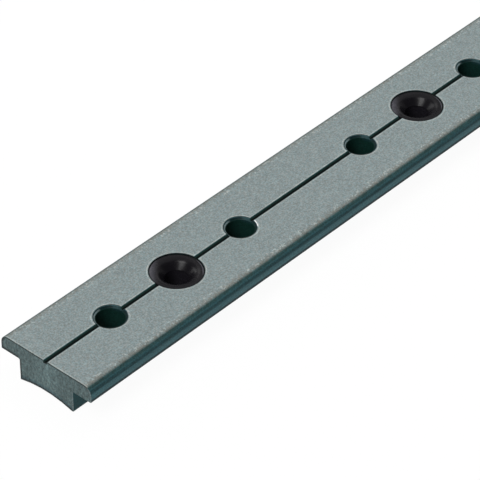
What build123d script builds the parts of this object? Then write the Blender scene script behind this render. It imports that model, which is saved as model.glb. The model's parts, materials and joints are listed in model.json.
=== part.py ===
"""Sail track section: a T-shaped aluminium length with stop holes and lined screw holes.

Millimetres. X runs along the track, Y across it and Z up from the two feet that it
stands on. The origin is at mid-length, on the centre line, at the level of the feet.
"""

from build123d import *
from math import radians, sqrt, tan
import os

# The extrusion, sawn midway between two stop holes, where the saw takes its own width
nominal_length = 600
saw_kerf = 2.4
head_width = 32
head_thickness = 4.7
web_width = 19
web_height = 6.8
head_edge_radius = 2.5
head_corner_radius = 0.35
root_radius = 0.3
foot_land = 0.5
foot_edge_radius = 0.3
saw_edge_break = 0.2

# The hollow underside, one arc from foot to foot
seat_radius = 32.5

# The vee scribed along the centre line of the top
groove_width = 1.5
groove_depth = 0.7

# The stop holes, and the screw holes midway between pairs of them
stop_pitch = 50
stops_per_screw = 2
stop_diameter = 8
stop_chamfer = 0.6
stop_chamfer_angle = 90

# The bush that lines a screw hole, its lip rolled well over into a countersink
screw_hole_diameter = 6.6
countersink_diameter = 10.8
countersink_angle = 82
lip_diameter = 14.7
lip_height = 0.6
lip_recess = 0.1
lip_outer_break = 0.3
lip_inner_round = 2.4
shank_diameter = 9.2
shank_end_gap = 0.8
bush_clearance = 0.08

track_length = nominal_length - saw_kerf
track_height = web_height + head_thickness
seat_rise = seat_radius - sqrt(seat_radius**2 - (web_width / 2 - foot_land) ** 2)
seat_depth = lip_recess + lip_height
screw_pitch = stops_per_screw * stop_pitch
screw_count = int(nominal_length // screw_pitch)
stop_count = stops_per_screw * screw_count
shank_end = seat_rise + shank_end_gap - track_height


def cone_drop(wide_diameter, narrow_diameter):
    """How far down a countersink goes while it narrows from one diameter to the other."""
    return (wide_diameter - narrow_diameter) / 2 / tan(radians(countersink_angle / 2))


os.makedirs("parts", exist_ok=True)

# The track: the T section with its rounded head, hollow seat and centre vee, then its holes
with BuildPart() as track:
    with BuildSketch(Plane.YZ.offset(-track_length / 2)) as section:
        Rectangle(web_width, web_height, align=(Align.CENTER, Align.MIN))
        with Locations((0, web_height)):
            Rectangle(head_width, head_thickness, align=(Align.CENTER, Align.MIN))
        with Locations((0, seat_rise - seat_radius)):
            Circle(seat_radius, mode=Mode.SUBTRACT)

        # Both top edges of the head are well rounded, and its two lower corners only lightly
        fillet(section.vertices().group_by(Axis.Y)[-1], head_edge_radius)
        head_corners = section.vertices().group_by(Axis.Y)[1].sort_by(Axis.X)
        fillet([head_corners[0], head_corners[-1]], head_corner_radius)

        # Between them, at the same height, are the roots of the web
        fillet(section.vertices().group_by(Axis.Y)[1].sort_by(Axis.X)[1:-1], root_radius)
        feet = section.vertices().group_by(Axis.Y)[0].sort_by(Axis.X)
        fillet([feet[0], feet[-1]], foot_edge_radius)

        Polygon(
            (-groove_width / 2, track_height),
            (0, track_height - groove_depth),
            (groove_width / 2, track_height),
            mode=Mode.SUBTRACT,
        )
    extrude(amount=track_length)
    chamfer(track.faces().filter_by(Axis.X).edges(), saw_edge_break)

    # Stop holes, each with a broken edge, for the plunger of a car or an end stop
    with Locations(Plane.XY.offset(track_height)):
        with GridLocations(stop_pitch, stop_pitch, stop_count, 1):
            CounterSinkHole(
                stop_diameter / 2,
                stop_diameter / 2 + stop_chamfer,
                counter_sink_angle=stop_chamfer_angle,
            )

    # Seats for the bushes: a round recess for the lip, then a cone and a through hole
    with Locations(Plane.XY.offset(track_height - seat_depth)):
        with GridLocations(screw_pitch, screw_pitch, screw_count, 1):
            CounterSinkHole(
                shank_diameter / 2 + bush_clearance,
                lip_diameter / 2 + bush_clearance,
                counter_sink_angle=countersink_angle,
            )
track.part.label = "track"
export_step(track.part, "parts/track.step")

# One bush, turned about Z with its mouth at the origin: a rolled lip, a countersink and a shank
with BuildPart() as bush:
    with BuildSketch(Plane.XZ) as half_section:
        Polygon(
            (lip_diameter / 2, -lip_recess),
            (lip_diameter / 2, -seat_depth),
            (shank_diameter / 2, -seat_depth - cone_drop(lip_diameter, shank_diameter)),
            (shank_diameter / 2, shank_end),
            (screw_hole_diameter / 2, shank_end),
            (screw_hole_diameter / 2, -lip_recess - cone_drop(countersink_diameter, screw_hole_diameter)),
            (countersink_diameter / 2, -lip_recess),
        )
        fillet(half_section.vertices().group_by(Axis.Y)[-1].sort_by(Axis.X)[0], lip_inner_round)
        chamfer(half_section.vertices().group_by(Axis.Y)[-1].sort_by(Axis.X)[-1], lip_outer_break)
    revolve(axis=Axis.Z)

# The same bush in every seat along the track
with BuildPart() as bushes:
    with Locations(Plane.XY.offset(track_height)):
        with GridLocations(screw_pitch, screw_pitch, screw_count, 1):
            add(bush.part)
bushes.part.label = "bushes"
export_step(bushes.part, "parts/bushes.step")
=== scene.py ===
"""Dresses a length of anodised sail track and the bushes in its screw holes, on a pale floor.

Metres. X runs along the track, Y across it and Z up from the two feet that it stands on.
"""
import json
from math import cos, pi, radians, sin, tan

import bmesh
import bpy
from bpy.props import FloatProperty, FloatVectorProperty, IntProperty, PointerProperty
from mathutils import Matrix, Vector


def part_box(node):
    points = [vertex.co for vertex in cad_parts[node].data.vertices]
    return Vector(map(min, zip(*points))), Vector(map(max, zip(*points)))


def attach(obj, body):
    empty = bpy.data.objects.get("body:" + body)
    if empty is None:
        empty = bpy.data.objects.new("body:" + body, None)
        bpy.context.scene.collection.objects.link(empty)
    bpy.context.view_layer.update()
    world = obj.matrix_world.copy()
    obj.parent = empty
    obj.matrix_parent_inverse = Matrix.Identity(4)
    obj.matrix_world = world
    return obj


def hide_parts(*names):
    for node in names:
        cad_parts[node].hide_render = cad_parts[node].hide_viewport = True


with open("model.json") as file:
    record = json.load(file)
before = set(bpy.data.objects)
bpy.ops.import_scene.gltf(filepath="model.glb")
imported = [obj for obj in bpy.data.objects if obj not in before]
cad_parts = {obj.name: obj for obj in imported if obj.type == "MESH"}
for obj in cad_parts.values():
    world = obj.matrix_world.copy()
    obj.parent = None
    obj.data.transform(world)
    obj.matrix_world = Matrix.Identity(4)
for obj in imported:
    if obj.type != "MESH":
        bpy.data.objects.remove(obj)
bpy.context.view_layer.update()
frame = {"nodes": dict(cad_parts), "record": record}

bl_info = {
    "name": "Sail Track Section",
    "version": (1, 0, 0),
    "blender": (4, 5, 0),
    "location": "3D View > Sidebar > Sail Track",
    "description": "Finishes a length of sail track, turns the bushes of its screw holes and lights it",
    "category": "Object",
}

MM = 0.001
WHITE = (1, 1, 1)

# What the CAD says of the track, its two rows of holes and the bushes
_, track_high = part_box("track")
bush_low, bush_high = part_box("bushes")
mounts = {mount["name"]: mount for mount in frame["record"]["mounts"]}
TRACK_END, TRACK_SIDE, TRACK_TOP = track_high
LIP_RADIUS = bush_high.y
STOP_START = mounts["stop_hole_1"]["pos_m"][0]
STOP_PITCH = (mounts["stop_hole_3"]["pos_m"][0] - STOP_START) / 2
STOP_RADIUS = mounts["stop_hole_1"]["dims"]["r_mm"] * MM
SCREW_SPOTS = [m["pos_m"][:2] for name, m in sorted(mounts.items()) if name.startswith("screw_hole")]
SCREW_START = SCREW_SPOTS[0][0]
SCREW_PITCH = SCREW_SPOTS[1][0] - SCREW_START
SCREW_RADIUS = mounts["screw_hole_1"]["dims"]["r_mm"] * MM

# Where painted light and shade lie round the holes, as directions on the level with their shares of X
# and of Y: the lit side and the glint of a bush's lip, the glint and the lit patch of a stop hole, the
# way its lit edge faces, and the line along which its painted dark ring is widest
LIT_LIP_SIDE = (-0.665, 0.747)
LIP_GLINT_SIDE = (0.839, -0.545)
RIM_GLINT_SIDE = (0.897, -0.443)
LIT_PATCH_SIDE = (0.972, 0.237)
LIT_EDGE_FACING = (0.665, -0.747)
WIDE_SHADE_RING = (0.747, 0.665)

# Sizes of the patterns in the track's finish, and how far two of them stretch along each axis
CLOUD_SIZE = 4 * MM
PATCH_SIZE = 1.2 * MM
FLECK_SIZE = 0.8 * MM
TINT_SIZE = 0.6 * MM
SMEAR_SIZE = 0.7 * MM
SMEAR_STRETCH = (1, 1, 1.6)
DIE_LINE_SIZE = 0.4 * MM
DIE_LINE_STRETCH = (60, 1, 1)

# What its tinted patches keep of red, of green and of blue
COOL = (0.945, 1.01, 1.03)
WARM = (1.055, 0.99, 0.965)

# How squarely a face has to look up, or along the track, to be the top or a sawn end
FACES_UP = (0.82, 0.99)
FACES_OUT = (0.90, 0.97)

# How far up the head's rounded edge looks, from 0 on its wall to 1 on the top, where it is painted
# darker as shade: not at all up to the first number, fully between the next two, not past the last
UPPER_BEND = (0.40, 0.56, 0.88, 1.0)
DARK_LINE = (0.06, 0.34, 0.40, 0.62)

# Over how much a thin line fades on either side
LINE_SOFT = 0.08 * MM

# The colour sockets of a Mix node, whose names its sockets for numbers have too
MIX_FIRST, MIX_SECOND, MIX_RESULT = 6, 7, 2
NODE_SPACING = 180

# Parts into which a round of a bush is cut, and the angle from which an edge of it stays sharp
ROUND_PARTS = 8
SHARP_EDGE = radians(28)

# How far the floor lies under the feet, so that they don't flicker in it
FLOOR_GAP = 0.05 * MM

# Where the sky is brightest, as shares of Y and of Z
BRIGHT_SKY = (0.6, 0.8)


def colour(name, description, default):
    """A colour that the user can pick."""
    return FloatVectorProperty(
        name=name, description=description, default=default, subtype="COLOR", size=3, min=0, max=1
    )


def length(name, description, default, **limits):
    """A length that the user can set, in metres."""
    return FloatProperty(
        name=name,
        description=description,
        default=default,
        unit="LENGTH",
        subtype="DISTANCE",
        precision=5,
        **limits,
    )


def share(name, description, default, top=1.0):
    """A plain number from none to top that the user can set."""
    return FloatProperty(name=name, description=description, default=default, min=0, max=top)


def angle(name, description, default):
    """An angle that the user can set, given here in degrees."""
    return FloatProperty(
        name=name, description=description, default=radians(default), unit="ROTATION", subtype="ANGLE"
    )


class TrackFinish(bpy.types.PropertyGroup):
    """The hard anodising of the track, one finish all over, with a colour for each face that also holds
    its painted light and shade.
    """

    # Painted shade: the sides, the web under the head and the sawn ends are painted darker than the
    # top, the ends also for their sawn finish
    top_colour: colour("Top", "Colour of the sliding face on top", (0.246, 0.294, 0.296))
    side_shade_colour: colour("Sides", "Colour of the head's edges", (0.051, 0.140, 0.158))
    web_shade_colour: colour("Web", "Colour of the faces under the head", (0.003, 0.050, 0.057))
    end_shade_colour: colour("Sawn ends", "Colour of the sawn end faces", (0.084, 0.125, 0.127))
    # Painted shade on the edge round a sawn end
    end_edge_shade_colour: colour("Saw burr", "Colour of the edge round a sawn end", (0.038, 0.052, 0.051))
    # Painted shade inside the stop holes
    hole_shade_colour: colour("Holes", "Colour inside the stop holes", (0.0062, 0.035, 0.028))
    # Painted sheen: a lit stripe down a stop hole's wall
    lit_patch_colour: colour("Hole sheen", "Colour of their polished stripe", (0.012, 0.043, 0.047))
    # Painted shade on a stop hole's broken edge
    broken_edge_shade_colour: colour("Broken edges", "Colour of their broken edge", (0.002, 0.015, 0.017))
    # Painted highlight on the broken edges that face the light, at the stop holes and at the sawn ends
    lit_edge_colour: colour("Worn edges", "Colour of that edge where it is worn", (0.20, 0.27, 0.28))
    # Painted shade in the groove
    groove_shade_colour: colour("Groove", "Colour of the flanks of the groove", (0.010, 0.036, 0.031))
    # Painted shade in the groove's bottom, the sawn ends' outline, the rings at the holes and the gap
    # round each bush
    painted_shade_colour: colour("Dark lines", "Colour of the deepest and darkest lines", (0.003, 0.007, 0.006))
    # Painted highlight along edges, also the colour of the pale flecks
    highlight_and_fleck_colour: colour("Rubbed edges", "Colour of an edge that is rubbed pale", (0.42, 0.47, 0.46))
    # Painted glint on the rims of the stop holes
    rim_glint_colour: colour("Bare metal", "Colour of the chips in the rims", (0.90, 0.91, 0.92))
    # Painted shade where the top bends down
    brim_shade_tint: colour("Brims", "Share of each colour kept where the top bends down", (0.80, 0.68, 0.60))
    # Painted shade beside the hollow underneath
    hollow_shade_tint: colour("Hollow", "Share of each colour kept beside the hollow", (0.70, 0.82, 0.90))
    streaks: share("Streaks", "How strongly the lines of the die show on the sides", 0.7)
    mottling: share("Mottling", "How strongly the saw's smears show on the ends", 2.4, 4)
    draw_mark: share("Draw mark", "How much paler a line down the middle of an end is", 0.45)
    pale_middle: share("Pale middle", "How much paler the middle of an end is", 0.24)
    speckling: share("Speckling", "How strongly the grain shows", 1.7, 4)
    clouding: share("Clouding", "How strongly the broader clouds show", 0.12)
    flecking: share("Flecking", "Strength of the pale flecks along the head's edges", 0.65)
    # Painted shade on the head's rounded edge, along a line on it and along the bottom of its wall
    bend_shade: share("Bend shade", "How much darker the head's rounded edge is than its wall", 0.27)
    line_shade: share("Line shade", "How much darker still a line along that edge is", 0.54)
    hem_shade: share("Hem shade", "How much darker the bottom of the head's wall is", 0.72)
    # Painted shade along the edges of a sawn end
    outline_shade: share("Outline", "Strength of the dark outline of a sawn end", 0.75)
    # Strength of the painted sheen in a stop hole
    lit_patch_share: share("Sheen share", "Strength of the polished stripe in a stop hole", 0.8)
    # Painted shade round the rims of the holes
    ring_shade: share("Ring shade", "Strength of the dark ring at the rim of a hole", 0.9)
    grain_size: length("Grain", "Size of the matte grain", 0.00042, min=0.00005)
    groove_width: length("Groove width", "Width of the groove along the middle", 0.0015)
    groove_depth: length("Groove depth", "Depth of the groove along the middle", 0.0007)
    stop_chamfer: length("Stop hole edge", "Width of the broken edge of a stop hole", 0.0006)
    seat_clearance: length("Seat clearance", "Gap round the lip of a bush", 0.00008)
    # Width of that painted shade ring
    ring_width: length("Ring width", "Width of the dark ring at the rim of a hole", 0.00016)
    # Width of a painted highlight line
    highlight_width: length("Rubbed width", "Width of the pale line along a rubbed edge", 0.00025)
    web_top: length("Web height", "Height of the web, up to the head", 0.0068)
    head_round: length("Head edge", "Radius of the head's top edges", 0.0025)
    web_width: length("Web width", "Width of the web under the head", 0.019)
    seat_radius: length("Seat radius", "Radius of the hollow underside", 0.0325)
    seat_rise: length("Seat rise", "Height of the hollow underside in the middle", 0.00127)
    roughness: share("Roughness", "How matte the anodising is", 0.55)
    shine: share("Shine", "Strength of its reflections, a half being usual", 0.2)
    metal: share("Metal", "How much the anodising shines as metal does", 0.25)


class BushShape(bpy.types.PropertyGroup):
    """The turned bush that lines a screw hole."""

    crest_radius: length("Crest radius", "Radius of the circle along which the lip is highest", 0.00645)
    cone: angle("Countersink", "Angle that the countersink is open by", 82)
    shank_radius: length("Shank radius", "Radius of the plain part under the countersink", 0.0046)
    lip_height: length("Lip height", "Height of the lip's upright edge", 0.0006)
    crown_slope: angle("Crown slope", "Slope of the lip's border, down to its edge", 11)
    outer_round: length("Outer round", "Radius of the lip's outer edge", 0.0002)
    inner_round: length("Inner round", "Radius where the lip rolls into the countersink", 0.0024)
    bore_round: length("Bore round", "Radius where the countersink meets the bore", 0.0003)
    facets: IntProperty(name="Facets", description="Facets round one bush", default=96, min=24, max=256)
    # Painted highlight on one side of the lip
    lit_lip_colour: colour("Rubbed lip", "Colour of the lip where it is rubbed", (0.061, 0.060, 0.071))
    bush_colour: colour("Bush", "Colour of the bush", (0.0062, 0.0057, 0.0074))
    # Painted light down the bore
    lit_bore_depth: length("Dust depth", "Depth under the lip from which dust lies on the wall", 0.0024)
    shine: share("Shine", "Strength of the bush's reflections, a half being usual", 0.15)
    roughness: share("Roughness", "How dull the bush is", 0.24)


class StageSetting(bpy.types.PropertyGroup):
    """The floor, the lamps and the camera."""

    floor_size: length("Floor size", "Length of one side of the floor", 14.0)
    floor_colour: colour("Floor", "Colour of the floor, as the lamps see it", (0.62, 0.62, 0.62))
    floor_glow: share("Floor glow", "Share of the floor's white that shadows don't darken", 0.955)
    dark_strip: length("Dark strip", "Distance from the middle up to which the floor is shaded", 0.0096)
    key_strength: share("Key light", "Light of the lamp high over the near end, 1 being full", 0.64, 4)
    top_strength: share("Top light", "Light of the large lamp overhead", 0.29, 4)
    side_strength: share("Side light", "Light of the low lamp beyond the track", 0.13, 4)
    glint_strength: share("Glint light", "Light of the small lamp beyond the track", 0.045, 4)
    far_strength: share("Far light", "Light of the lamp over the far part of the track", 0.28, 4)
    low_strength: share("Low light", "Light of the low lamp in front of the near end", 0.16, 4)
    sky_strength: share("Sky", "Light of the sky round the object", 0.19, 4)
    backdrop_strength: share("Backdrop", "Light of the pale wall beyond the far end", 0.35, 4)
    look_at: FloatVectorProperty(
        name="Look at",
        description="Point that the camera looks at",
        default=(-0.22917, -0.00365, 0.0115),
        subtype="XYZ",
        unit="LENGTH",
        size=3,
    )
    distance: length("Camera distance", "Distance of the camera from that point", 0.74107)
    heading: angle("Camera heading", "Direction that the camera looks in, from +X towards +Y", 41.68)
    elevation: angle("Camera elevation", "Angle that the camera looks down at", 38.45)
    roll: angle("Camera roll", "Turn of the camera about its line of sight", 0.27)
    lens: FloatProperty(
        name="Lens", description="Focal length in millimetres", default=209.1, unit="CAMERA"
    )


class Recipe:
    """A material or a world in the making: each call adds a node and returns its output."""

    def __init__(self, owner):
        self.owner = owner
        self.owner.use_nodes = True
        self.tree = owner.node_tree
        self.tree.nodes.clear()

    def node(self, kind, **settings):
        """A node of that kind with its settings, placed to the right of those before it."""
        made = self.tree.nodes.new(kind)
        made.location.x = NODE_SPACING * len(self.tree.nodes)
        for name, value in settings.items():
            setattr(made, name, value)
        return made

    def feed(self, socket, value):
        """Gives a socket a constant or the output of another node."""
        if isinstance(value, bpy.types.NodeSocket):
            self.tree.links.new(value, socket)
        elif isinstance(value, (int, float)):
            socket.default_value = value
        else:
            socket.default_value = (*value, 1.0)[: len(socket.default_value)]

    def math(self, operation, *values):
        """The result of a sum on one, two or three values."""
        made = self.node("ShaderNodeMath", operation=operation)
        for socket, value in zip(made.inputs, values):
            self.feed(socket, value)
        return made.outputs["Value"]

    def times(self, first, *others):
        """The product of all the values."""
        for value in others:
            first = self.math("MULTIPLY", first, value)
        return first

    def most(self, first, *others):
        """The largest of the values."""
        for value in others:
            first = self.math("MAXIMUM", first, value)
        return first

    def parts(self, vector):
        """The three numbers that a place or a direction is made of."""
        made = self.node("ShaderNodeSeparateXYZ")
        self.feed(made.inputs[0], vector)
        return made.outputs["X"], made.outputs["Y"], made.outputs["Z"]

    def span(self, first, second):
        """The length of a line that goes so far one way and so far square to it."""
        return self.math("SQRT", self.math("MULTIPLY_ADD", first, first, self.times(second, second)))

    def reach(self, first, second, direction):
        """How far a place lies in a direction, both given by two numbers."""
        return self.math("MULTIPLY_ADD", first, direction[0], self.times(second, direction[1]))

    def from_row(self, x, y, start, pitch):
        """Distance from the nearest of a row of holes, and how much of it is along the track."""
        beside = self.math("WRAP", self.math("SUBTRACT", x, start), pitch / 2, -pitch / 2)
        return self.span(y, beside), beside

    def ramp(self, value, start, end, low=0.0, high=1.0):
        """low where value is at start, high where it is at end, with a soft step between them."""
        made = self.node("ShaderNodeMapRange", interpolation_type="SMOOTHSTEP", clamp=True)
        limits = {"Value": value, "From Min": start, "From Max": end, "To Min": low, "To Max": high}
        for name, amount in limits.items():
            self.feed(made.inputs[name], amount)
        return made.outputs["Result"]

    def hump(self, value, start, full, fading, gone):
        """0 up to start, 1 from full to fading and 0 again from gone on, with soft steps."""
        return self.times(self.ramp(value, start, full), self.ramp(value, fading, gone, 1.0, 0.0))

    def band(self, value, low, high, soft):
        """1 where value is between low and high, and 0 outside, with soft flanks."""
        return self.hump(value, low - soft, low, high, high + soft)

    def noise(self, place, size, detail=2.0, roughness=0.5, stretch=(1, 1, 1)):
        """Noise whose patches have that size in metres, longer along an axis by its stretch."""
        mapping = self.node("ShaderNodeMapping", vector_type="POINT")
        self.feed(mapping.inputs["Vector"], place)
        mapping.inputs["Scale"].default_value = [1 / (size * s) for s in stretch]
        made = self.node("ShaderNodeTexNoise")
        self.feed(made.inputs["Vector"], mapping.outputs["Vector"])
        made.inputs["Scale"].default_value = 1.0
        made.inputs["Detail"].default_value = detail
        made.inputs["Roughness"].default_value = roughness
        return made.outputs["Fac"]

    def sway(self, noise, amount, about=1.0):
        """Noise made to vary about a value, by half that amount to either side."""
        return self.math("MULTIPLY_ADD", self.math("SUBTRACT", noise, 0.5), amount, about)

    def mix(self, share_of_second, first, second):
        """Two colours, mixed."""
        made = self.node("ShaderNodeMix", data_type="RGBA")
        self.feed(made.inputs["Factor"], share_of_second)
        self.feed(made.inputs[MIX_FIRST], first)
        self.feed(made.inputs[MIX_SECOND], second)
        return made.outputs[MIX_RESULT]

    def bright(self, base, amount):
        """A colour times an amount near 1."""
        made = self.node("ShaderNodeVectorMath", operation="SCALE")
        self.feed(made.inputs[0], base)
        self.feed(made.inputs["Scale"], amount)
        return made.outputs["Vector"]

    def tinted(self, base, shares):
        """A colour of which that share of red, of green and of blue is kept."""
        made = self.node("ShaderNodeVectorMath", operation="MULTIPLY")
        self.feed(made.inputs[0], base)
        self.feed(made.inputs[1], shares)
        return made.outputs["Vector"]

    def bump(self, height, distance, strength, below=None):
        """A surface normal that the height raises by at most that distance."""
        made = self.node("ShaderNodeBump")
        made.inputs["Strength"].default_value = strength
        made.inputs["Distance"].default_value = distance
        self.feed(made.inputs["Height"], height)
        if below is not None:
            self.feed(made.inputs["Normal"], below)
        return made.outputs["Normal"]

    def finish(self, shader):
        """Ends the recipe with its shader, and returns what was made."""
        kind = "World" if isinstance(self.owner, bpy.types.World) else "Material"
        self.feed(self.node(f"ShaderNodeOutput{kind}").inputs["Surface"], shader)
        return self.owner


class TrackRecipe(Recipe):
    """The track's material in the making, which knows where on the track a point lies."""

    def __init__(self, look):
        super().__init__(bpy.data.materials.new("hard_anodising"))
        self.look = look
        coordinates = self.node("ShaderNodeTexCoord")
        self.place = coordinates.outputs["Object"]
        self.x, self.y, self.z = self.parts(self.place)
        self.facing_x, self.facing_y, self.facing_z = self.parts(coordinates.outputs["Normal"])
        self.along = self.math("ABSOLUTE", self.x)
        self.across = self.math("ABSOLUTE", self.y)
        self.from_stop, self.beside_stop = self.from_row(self.x, self.y, STOP_START, STOP_PITCH)
        self.from_screw, _ = self.from_row(self.x, self.y, SCREW_START, SCREW_PITCH)
        self.rim = STOP_RADIUS + look.stop_chamfer
        self.seat = LIP_RADIUS + look.seat_clearance
        self.half_groove = look.groove_width / 2

        # The grain of the matte finish, broader clouds and the lines that the die left
        self.grain = self.noise(self.place, look.grain_size, 3.0, 0.6)
        self.clouds = self.noise(self.place, CLOUD_SIZE)
        self.lines = self.noise(self.place, DIE_LINE_SIZE, stretch=DIE_LINE_STRETCH)

        # Which face of the track a point is on
        self.on_top = self.ramp(self.facing_z, *FACES_UP)
        self.facing_out = self.math("ABSOLUTE", self.facing_x)
        self.on_end = self.ramp(self.facing_out, *FACES_OUT)
        self.under_head = self.ramp(self.z, look.web_top + 0.1 * MM, look.web_top - 0.2 * MM)
        below_top = self.ramp(self.z, TRACK_TOP - 0.12 * MM, TRACK_TOP - 0.02 * MM, 1.0, 0.0)
        groove_bottom = TRACK_TOP - look.groove_depth
        self.high_up = self.ramp(self.z, groove_bottom - 0.1 * look.groove_depth, groove_bottom)
        near_middle = self.ramp(self.across, self.half_groove, 0.8 * self.half_groove)
        self.in_groove = self.times(near_middle, self.high_up, below_top)
        self.in_stop = self.times(self.ramp(self.from_stop, self.rim, self.rim - 0.1 * MM), below_top)

    def sides_and_top(self):
        """The faces under the head, the head's edges and the top, streaked along the track and with
        painted shade on the head's edges.
        """
        look = self.look
        tone = self.mix(self.under_head, look.side_shade_colour, look.web_shade_colour)

        # Painted shade: darker up the rounded edge, more so in a line low on it, and along the bottom
        # of the wall
        bend = self.hump(self.facing_z, *UPPER_BEND)
        line = self.hump(self.facing_z, *DARK_LINE)
        hem = self.times(
            self.ramp(self.z, look.web_top + 1.3 * MM, look.web_top + 0.8 * MM),
            self.ramp(self.across, TRACK_SIDE - 2.0 * MM, TRACK_SIDE - 1.5 * MM),
        )
        rounded = self.math("MULTIPLY_ADD", bend, look.bend_shade, self.times(line, look.line_shade))
        shade = self.most(rounded, self.times(hem, look.hem_shade))
        lit = self.times(self.math("SUBTRACT", 1.0, shade), self.sway(self.lines, look.streaks))
        tone = self.mix(self.on_top, self.bright(tone, lit), look.top_colour)

        # Painted shade, darker and warmer in patches, where the top bends down
        brim_shade = self.times(
            self.ramp(self.facing_z, 0.6, 0.75),
            self.ramp(self.across, 0.79 * TRACK_SIDE, 0.93 * TRACK_SIDE),
            self.ramp(self.noise(self.place, PATCH_SIZE, 2.0, 0.6), 0.35, 0.6, 0.5, 1.0),
        )
        return self.mix(brim_shade, tone, self.tinted(tone, look.brim_shade_tint))

    def with_ends(self, tone):
        """That colour, and on the sawn ends theirs: mottled, with painted shade beside the hollow and a
        painted dark outline.
        """
        look = self.look
        smears = self.noise(self.place, SMEAR_SIZE, 3.0, 0.65, SMEAR_STRETCH)
        middle = self.band(self.y, -3 * MM, 2 * MM, 3 * MM)
        wavy = self.sway(self.clouds, 1.6 * MM, self.math("ADD", self.y, 0.7 * MM))
        draw_mark = self.times(
            self.band(wavy, -0.2 * MM, 0.2 * MM, 0.3 * MM), self.ramp(self.z, 3 * MM, 5 * MM)
        )
        mottle = self.sway(smears, look.mottling)
        mottle = self.math("MULTIPLY_ADD", draw_mark, look.draw_mark, mottle)
        mottle = self.math("MULTIPLY_ADD", middle, look.pale_middle, mottle)
        sawn = self.bright(look.end_shade_colour, mottle)
        # Painted shade, darker beside the hollow underneath
        from_axis = self.math("SUBTRACT", self.z, look.seat_rise - look.seat_radius)
        to_hollow = self.span(self.y, from_axis)
        hollow = self.ramp(to_hollow, look.seat_radius + 2.0 * MM, look.seat_radius + 1.2 * MM)
        sawn = self.mix(hollow, sawn, self.tinted(sawn, look.hollow_shade_tint))

        # Painted shade: a dark outline along the hollow and along the edges on the +Y side
        half_web = look.web_width / 2
        beyond = self.most(self.math("SUBTRACT", self.across, TRACK_SIDE - look.head_round), 0.0)
        above = self.most(self.math("SUBTRACT", self.z, TRACK_TOP - look.head_round), 0.0)
        at_arc = self.ramp(to_hollow, look.seat_radius + 1.1 * MM, look.seat_radius + 0.7 * MM)
        at_brim = self.times(
            self.ramp(self.span(beyond, above), look.head_round - 0.8 * MM, look.head_round - 0.5 * MM),
            self.ramp(self.y, 0.86 * TRACK_SIDE, 0.94 * TRACK_SIDE),
        )
        at_web = self.times(
            self.ramp(self.y, half_web - 0.9 * MM, half_web - 0.6 * MM), self.under_head
        )
        at_ledge = self.times(
            self.ramp(self.z, look.web_top + 1.2 * MM, look.web_top + 0.8 * MM),
            self.ramp(self.y, half_web, half_web + 0.3 * MM),
        )
        outline = self.times(self.most(at_arc, at_brim, at_web, at_ledge), look.outline_shade)
        tone = self.mix(self.on_end, tone, self.mix(outline, sawn, look.painted_shade_colour))

        # The edge round a sawn end: a painted highlight where it faces the near side and painted shade
        # elsewhere
        burr = self.times(
            self.band(self.facing_out, 0.3, 0.9, 0.06),
            self.ramp(self.along, TRACK_END - 0.5 * MM, TRACK_END - 0.3 * MM),
        )
        lit_side = self.ramp(self.facing_y, -0.25, -0.6, 0.0, 0.68)
        return self.mix(burr, tone, self.mix(lit_side, look.end_edge_shade_colour, look.lit_edge_colour))

    def towards(self, direction):
        """How nearly a point lies in that direction from the nearest stop hole, 1 being exactly."""
        return self.math("DIVIDE", self.reach(self.beside_stop, self.y, direction), self.from_stop)

    def with_openings(self, tone):
        """That colour, and in the groove and the stop holes theirs, with painted shade, highlights and
        sheen.
        """
        look = self.look
        # Painted shade in the groove, darker towards its bottom
        flank, bottom = TRACK_TOP - 0.2 * look.groove_depth, TRACK_TOP - 0.75 * look.groove_depth
        groove_tone = self.mix(self.ramp(self.z, flank, bottom), look.groove_shade_colour, look.painted_shade_colour)
        tone = self.mix(self.in_groove, tone, groove_tone)

        # Painted shade inside a stop hole and on its broken edge, with a painted highlight on the side
        # of that edge that faces the light
        brightened = self.times(
            self.ramp(self.reach(self.facing_x, self.facing_y, LIT_EDGE_FACING), 0.42, 0.62),
            self.ramp(self.from_stop, self.rim - 0.15 * MM, self.rim - 0.3 * MM),
        )
        broken = self.ramp(self.from_stop, STOP_RADIUS + 0.02 * MM, STOP_RADIUS + 0.1 * MM)
        broken_tone = self.mix(brightened, look.broken_edge_shade_colour, look.lit_edge_colour)
        hole_tone = self.mix(self.times(self.in_stop, broken), look.hole_shade_colour, broken_tone)

        # A painted sheen: a lit stripe down its wall
        sheen = self.times(
            self.ramp(self.towards(LIT_PATCH_SIDE), 0.88, 0.98),
            self.ramp(self.z, TRACK_TOP - 1.8 * MM, TRACK_TOP - 0.9 * MM),
            look.lit_patch_share,
        )
        return self.mix(self.in_stop, tone, self.mix(sheen, hole_tone, look.lit_patch_colour))

    def line_from(self, distance, edge, width):
        """A line of that width where the distance passes the edge."""
        return self.band(distance, edge, edge + width, LINE_SOFT)

    def with_rims(self, tone):
        """That colour with painted light and shade at the rims: pale highlight lines, dark rings and
        glints.
        """
        look = self.look

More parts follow.
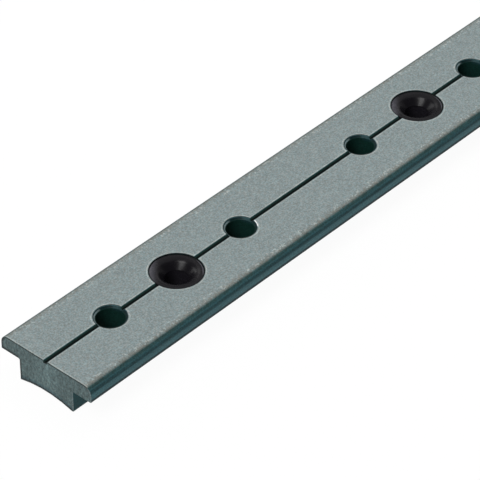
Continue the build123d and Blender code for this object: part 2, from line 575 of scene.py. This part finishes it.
        # Painted highlights: a pale line round each rim, beside the groove and along the sawn end
        outside = self.times(
            self.math("GREATER_THAN", self.from_screw, self.seat),
            self.math("GREATER_THAN", self.from_stop, self.rim),
        )
        gap = look.ring_width + 0.16 * MM
        highlighted = self.most(
            self.line_from(self.from_stop, self.rim + gap, look.highlight_width),
            self.line_from(self.from_screw, self.seat + gap, look.highlight_width),
            self.line_from(self.across, self.half_groove + 0.1 * MM, look.highlight_width),
            self.ramp(self.along, TRACK_END - 0.7 * MM, TRACK_END - 0.4 * MM),
        )
        highlighted = self.times(highlighted, self.on_top, outside, self.ramp(self.clouds, 0.3, 0.7, 0.35, 0.75))
        flecks = self.times(
            self.ramp(self.noise(self.place, FLECK_SIZE, 1.0), 0.58, 0.66),
            self.band(self.across, TRACK_SIDE - 3.2 * MM, TRACK_SIDE - 2.1 * MM, 0.5 * MM),
            self.on_top,
            look.flecking,
        )
        tone = self.mix(self.most(highlighted, flecks), tone, look.highlight_and_fleck_colour)

        # Painted shade: a dark ring at each stop hole, widest along one line, and in the gap round each
        # bush
        ahead = self.towards(WIDE_SHADE_RING)
        widen = self.math("MULTIPLY_ADD", self.times(ahead, ahead), 1.6, 0.4)
        ring_end = self.math("MULTIPLY_ADD", widen, look.ring_width, self.rim - 0.05 * MM)
        past_ring = self.math("SUBTRACT", self.from_stop, ring_end)
        ring = self.times(
            self.ramp(self.from_stop, self.rim - 0.13 * MM, self.rim - 0.05 * MM),
            self.ramp(past_ring, 0.0, LINE_SOFT, 1.0, 0.0),
            self.on_top,
        )
        in_seat = self.times(
            self.ramp(self.from_screw, self.seat + 0.2 * MM, self.seat + 0.1 * MM), self.high_up
        )
        ring = self.times(self.most(ring, in_seat), look.ring_shade)
        tone = self.mix(ring, tone, look.painted_shade_colour)

        # A painted glint on each stop hole's rim beside the groove, the brightest at the second hole
        from_second = self.math("SUBTRACT", self.x, STOP_START + STOP_PITCH)
        at_second = self.band(from_second, -STOP_PITCH / 2, STOP_PITCH / 2, 1 * MM)
        rim_glint = self.times(
            self.ramp(self.towards(RIM_GLINT_SIDE), 0.94, 0.975),
            self.line_from(past_ring, 0.02 * MM, 0.22 * MM),
            self.on_top,
            self.math("MULTIPLY_ADD", at_second, 0.75, 0.2),
            self.ramp(self.across, self.half_groove, self.half_groove + 0.1 * MM),
        )
        return self.mix(rim_glint, tone, look.rim_glint_colour)

    def matte(self, tone):
        """Ends the recipe with that colour, speckled and raised by the grain."""
        look = self.look
        grains, clouds = self.sway(self.grain, look.speckling), self.sway(self.clouds, look.clouding)
        speckle = self.times(grains, clouds)
        tint = self.ramp(self.noise(self.place, TINT_SIZE, 1.0), 0.35, 0.65)
        tone = self.tinted(self.bright(tone, speckle), self.mix(tint, COOL, WARM))
        raised = self.bump(self.grain, 0.03 * MM, 0.8, self.bump(self.lines, 0.01 * MM, 0.6))
        shader = self.node("ShaderNodeBsdfPrincipled")
        self.feed(shader.inputs["Base Color"], tone)
        self.feed(shader.inputs["Roughness"], self.sway(self.grain, 0.16, look.roughness))
        self.feed(shader.inputs["Normal"], raised)
        shader.inputs["Metallic"].default_value = look.metal
        shader.inputs["Specular IOR Level"].default_value = look.shine
        return self.finish(shader.outputs["BSDF"])


def anodising(look):
    """The track's finish: matte on top, with painted shade that makes it deeper on the sides and near
    black in the holes, and painted light and shade at edges.
    """
    recipe = TrackRecipe(look)
    tone = recipe.sides_and_top()
    tone = recipe.with_ends(tone)
    tone = recipe.with_openings(tone)
    tone = recipe.with_rims(tone)
    return recipe.matte(tone)


def black_gloss(shape):
    """The bush's finish: moulded black, smooth, with faint scratches, painted highlights on its lip,
    painted light in its bore and painted shade at the lip's edge.
    """
    recipe = Recipe(bpy.data.materials.new("moulded_black"))
    place = recipe.node("ShaderNodeTexCoord").outputs["Object"]
    x, y, z = recipe.parts(place)
    out, beside = recipe.from_row(x, y, SCREW_START, SCREW_PITCH)
    haze = recipe.noise(place, 2 * MM, 3.0, 0.55)
    scratches = recipe.noise(place, 0.3 * MM, 2.0, 0.6, (1, 1, 9))

    # Painted highlights: a lit side of the lip, and a glint at its edge on another side
    to_side = recipe.reach(beside, y, LIT_LIP_SIDE)
    to_near = recipe.reach(beside, y, LIP_GLINT_SIDE)
    highlighted = recipe.ramp(to_side, 0.62 * LIP_RADIUS, 0.97 * LIP_RADIUS)
    lip_glint = recipe.times(
        recipe.band(out, 0.935 * LIP_RADIUS, 0.97 * LIP_RADIUS, 0.02 * LIP_RADIUS),
        recipe.ramp(to_near, 0.82 * LIP_RADIUS, 0.92 * LIP_RADIUS),
    )
    tone = recipe.mix(recipe.most(highlighted, lip_glint), shape.bush_colour, shape.lit_lip_colour)

    # Painted light, paler down in the countersink and the bore, and painted shade, darker at the lip's
    # outer edge, over a random haze
    lit_bore_top = bush_high.z - shape.lit_bore_depth
    haze_light_and_shade = recipe.times(
        recipe.sway(haze, 0.5),
        recipe.ramp(z, lit_bore_top, lit_bore_top - 0.4 * MM, 1.0, 2.2),
        recipe.ramp(out, 0.955 * LIP_RADIUS, 0.99 * LIP_RADIUS, 1.0, 0.4),
    )
    rough = recipe.math("MULTIPLY_ADD", scratches, 0.05, recipe.sway(haze, 0.14, shape.roughness))
    shader = recipe.node("ShaderNodeBsdfPrincipled")
    recipe.feed(shader.inputs["Base Color"], recipe.bright(tone, haze_light_and_shade))
    recipe.feed(shader.inputs["Roughness"], rough)
    recipe.feed(shader.inputs["Normal"], recipe.bump(scratches, 0.004 * MM, 0.5))
    shader.inputs["Specular IOR Level"].default_value = shape.shine
    return recipe.finish(shader.outputs["BSDF"])


def turn(section, facets):
    """A new mesh: a half section turned once round the Z axis.

    Each corner of the section has a radius, a height and how much of it a round cuts off.
    """
    mesh = bmesh.new()
    corners = [mesh.verts.new((radius, 0, height)) for radius, height, _ in section]
    for pair in zip(corners, corners[1:] + corners[:1]):
        mesh.edges.new(pair)
    for corner, (_, _, cut) in zip(corners, section):
        if cut:
            bmesh.ops.bevel(
                mesh,
                geom=[corner],
                offset=cut,
                offset_type="OFFSET",
                segments=ROUND_PARTS,
                profile=0.5,
                affect="VERTICES",
                material=-1,
            )
    outline = mesh.verts[:] + mesh.edges[:]
    bmesh.ops.spin(
        mesh, geom=outline, cent=(0, 0, 0), axis=(0, 0, 1), angle=2 * pi, steps=facets, use_merge=True
    )
    bmesh.ops.recalc_face_normals(mesh, faces=mesh.faces[:])
    return mesh


def repeat(mesh, spots):
    """Copies a mesh to each spot on the level, and takes away the first one."""
    first = mesh.verts[:] + mesh.edges[:] + mesh.faces[:]
    first_verts = mesh.verts[:]
    for x, y in spots:
        copied = bmesh.ops.duplicate(mesh, geom=first)["geom"]
        verts = [part for part in copied if isinstance(part, bmesh.types.BMVert)]
        bmesh.ops.translate(mesh, verts=verts, vec=(x, y, 0))
    bmesh.ops.delete(mesh, geom=first_verts, context="VERTS")


class SAILTRACK_OT_finish_track(bpy.types.Operator):
    """Give the track its hard anodising"""

    bl_idname = "sailtrack.finish_track"
    bl_label = "Finish the Track"

    def execute(self, context):
        track = frame["nodes"]["track"]
        if not track.material_slots:
            raise RuntimeError("The track has no material slot to give the anodising to")
        material = anodising(context.scene.sail_track_finish)
        for slot in track.material_slots:
            slot.material = material
        return {"FINISHED"}


class SAILTRACK_OT_turn_bushes(bpy.types.Operator):
    """Turn the bushes that line the screw holes"""

    bl_idname = "sailtrack.turn_bushes"
    bl_label = "Turn the Bushes"

    def execute(self, context):
        shape = context.scene.sail_track_bush
        lip, shank, bore = LIP_RADIUS, shape.shank_radius, SCREW_RADIUS
        top, foot = bush_high.z, bush_low.z
        step = top - shape.lip_height
        slope, steep = shape.crown_slope, pi / 2 - shape.cone / 2
        steepness = tan(steep)

        # The corner that the roll takes off lies where the border and the countersink would meet
        bend = (slope + steep) / 2
        reach = shape.inner_round / cos(bend)
        corner = shape.crest_radius - reach * sin(bend - slope)
        height = top - shape.inner_round + reach * cos(bend - slope)

        # Radius, height and cut of each corner, down the outside and up the inside
        section = [
            (lip, height - (lip - corner) * tan(slope), shape.outer_round),
            (lip, step, 0),
            (shank, step - (lip - shank) * steepness, 0),
            (shank, foot, 0),
            (bore, foot, 0),
            (bore, height - (corner - bore) * steepness, shape.bore_round * tan(shape.cone / 4)),
            (corner, height, shape.inner_round * tan(bend)),
        ]
        mesh = turn(section, shape.facets)
        repeat(mesh, SCREW_SPOTS)
        if not all(edge.is_manifold for edge in mesh.edges):
            mesh.free()
            raise RuntimeError("The bushes don't close at these sizes")
        for face in mesh.faces:
            face.smooth = True
        for edge in mesh.edges:
            edge.smooth = edge.calc_face_angle(0) < SHARP_EDGE
        data = bpy.data.meshes.new("screw_bushes")
        mesh.to_mesh(data)
        mesh.free()
        data.materials.append(black_gloss(shape))
        bushes = bpy.data.objects.new("screw_bushes", data)
        context.scene.collection.objects.link(bushes)
        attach(bushes, "root")
        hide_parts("bushes")
        return {"FINISHED"}


def facing(heading, elevation):
    """The direction at that heading from +X towards +Y, and that far below the horizon."""
    level = cos(elevation)
    return Vector((level * cos(heading), level * sin(heading), -sin(elevation)))


def lamp(name, heading, elevation, distance, size, light, aim=SCREW_START):
    """A soft lamp, aimed at that place along the track, that gives that share of full light there.

    Its angles are in degrees, and say which way its light goes.
    """
    data = bpy.data.lights.new(name, "AREA")
    data.shape = "RECTANGLE"
    data.size, data.size_y = size
    data.energy = light * pi * pi * distance**2
    made = bpy.data.objects.new(name, data)
    towards = facing(radians(heading), radians(elevation))
    spot = Vector((aim, 0, TRACK_TOP)) - towards * distance
    turned = towards.to_track_quat("-Z", "Y").to_matrix().to_4x4()
    made.matrix_world = Matrix.Translation(spot) @ turned
    made.visible_camera = False
    bpy.context.scene.collection.objects.link(made)
    return made


def floor_finish(stage):
    """A matte floor, white to the camera and in reflections but for a strip under the track."""
    recipe = Recipe(bpy.data.materials.new("pale_floor"))
    place = recipe.node("ShaderNodeTexCoord").outputs["Object"]
    path = recipe.node("ShaderNodeLightPath").outputs
    seen = recipe.most(path["Is Camera Ray"], path["Is Glossy Ray"], path["Is Transmission Ray"])
    x, y, _ = recipe.parts(place)
    beside = recipe.ramp(recipe.math("ABSOLUTE", y), stage.dark_strip - 1.1 * MM, stage.dark_strip)
    beyond = recipe.ramp(recipe.math("ABSOLUTE", x), TRACK_END - 6 * MM, TRACK_END - 2 * MM)
    matte = recipe.node("ShaderNodeBsdfDiffuse")
    plain = recipe.mix(seen, stage.floor_colour, WHITE)
    fleck = recipe.sway(recipe.noise(place, 3 * MM), 0.02)
    recipe.feed(matte.inputs["Color"], recipe.bright(plain, fleck))
    glow = recipe.node("ShaderNodeEmission")
    mixed = recipe.node("ShaderNodeMixShader")
    glowing = recipe.times(seen, recipe.most(beside, beyond), stage.floor_glow)
    recipe.feed(mixed.inputs[0], glowing)
    recipe.feed(mixed.inputs[1], matte.outputs[0])
    recipe.feed(mixed.inputs[2], glow.outputs[0])
    return recipe.finish(mixed.outputs[0])


def studio_air(stage):
    """The light of the room: bright overhead and behind the track, and to the camera plain white."""
    recipe = Recipe(bpy.data.worlds.new("studio"))
    x, y, z = recipe.parts(recipe.node("ShaderNodeTexCoord").outputs["Generated"])
    overhead = recipe.reach(y, z, BRIGHT_SKY)
    sky = recipe.ramp(overhead, -0.6, 0.9, 0.1 * stage.sky_strength, stage.sky_strength)
    backdrop = recipe.ramp(x, 0.6, 0.9, 0.0, stage.backdrop_strength)
    seen = recipe.node("ShaderNodeLightPath").outputs["Is Camera Ray"]
    background = recipe.node("ShaderNodeBackground")
    background.inputs["Color"].default_value = (*WHITE, 1)
    light = recipe.most(recipe.math("ADD", sky, backdrop), seen)
    recipe.feed(background.inputs["Strength"], light)
    return recipe.finish(background.outputs[0])


class SAILTRACK_OT_set_stage(bpy.types.Operator):
    """Lay the floor, hang the lamps and set up the camera"""

    bl_idname = "sailtrack.set_stage"
    bl_label = "Set the Stage"

    def execute(self, context):
        stage = context.scene.sail_track_stage
        scene = context.scene
        mesh = bmesh.new()
        bmesh.ops.create_grid(mesh, x_segments=1, y_segments=1, size=stage.floor_size / 2)
        bmesh.ops.translate(mesh, verts=mesh.verts[:], vec=(0, 0, -FLOOR_GAP))
        data = bpy.data.meshes.new("floor")
        mesh.to_mesh(data)
        mesh.free()
        data.materials.append(floor_finish(stage))
        floor = bpy.data.objects.new("floor", data)
        scene.collection.objects.link(floor)

        # Each lamp's heading and elevation, its distance, its size and its share of light
        lamp("key", 2, 55, 5.0, (2.3, 2.5), stage.key_strength)
        lamp("top_light", 210, 66, 1.2, (1.45, 1.45), stage.top_strength)
        lamp("side_light", 275, 20, 1.5, (0.8, 0.6), stage.side_strength)
        lamp("glint_light", 246, 32, 1.5, (0.45, 0.35), stage.glint_strength)
        lamp("low_light", 25, 30, 2.4, (1.0, 0.8), stage.low_strength)
        far_screw = SCREW_START + 4 * SCREW_PITCH
        far_light = lamp("far_light", 0, 90, 0.5, (0.35, 0.35), stage.far_strength, far_screw)
        far_light.visible_glossy = False
        scene.world = studio_air(stage)

        ahead = facing(stage.heading, stage.elevation)
        camera = bpy.data.objects.new("Camera", bpy.data.cameras.new("Camera"))
        camera.data.lens = stage.lens
        camera.data.clip_end = 50
        aim = ahead.to_track_quat("-Z", "Y") @ Matrix.Rotation(stage.roll, 3, "Z").to_quaternion()
        spot = Vector(stage.look_at) - ahead * stage.distance
        camera.matrix_world = Matrix.Translation(spot) @ aim.to_matrix().to_4x4()
        scene.collection.objects.link(camera)
        scene.camera = camera
        scene.view_settings.view_transform = "Standard"
        return {"FINISHED"}


class SAILTRACK_PT_sidebar(bpy.types.Panel):
    """The steps that dress the track, and what they can be told"""

    bl_idname = "SAILTRACK_PT_sidebar"
    bl_label = "Sail Track"
    bl_space_type = "VIEW_3D"
    bl_region_type = "UI"
    bl_category = "Sail Track"

    def draw(self, context):
        scene = context.scene
        steps = (
            (scene.sail_track_finish, SAILTRACK_OT_finish_track),
            (scene.sail_track_bush, SAILTRACK_OT_turn_bushes),
            (scene.sail_track_stage, SAILTRACK_OT_set_stage),
        )
        for settings, step in steps:
            box = self.layout.box()
            for name in settings.__annotations__:
                box.prop(settings, name)
            box.operator(step.bl_idname)


SETTINGS = {
    "sail_track_finish": TrackFinish,
    "sail_track_bush": BushShape,
    "sail_track_stage": StageSetting,
}
CLASSES = (
    *SETTINGS.values(),
    SAILTRACK_OT_finish_track,
    SAILTRACK_OT_turn_bushes,
    SAILTRACK_OT_set_stage,
    SAILTRACK_PT_sidebar,
)


def register():
    """Adds the settings, the operators and the panel."""
    for kind in CLASSES:
        bpy.utils.register_class(kind)
    for name, kind in SETTINGS.items():
        setattr(bpy.types.Scene, name, PointerProperty(type=kind))


def unregister():
    """Takes them away again."""
    for name in SETTINGS:
        delattr(bpy.types.Scene, name)
    for kind in reversed(CLASSES):
        bpy.utils.unregister_class(kind)


def main():
    """Dresses the track and sets the stage."""
    register()
    bpy.ops.sailtrack.finish_track()
    bpy.ops.sailtrack.turn_bushes()
    bpy.ops.sailtrack.set_stage()


if __name__ == "__main__":
    main()
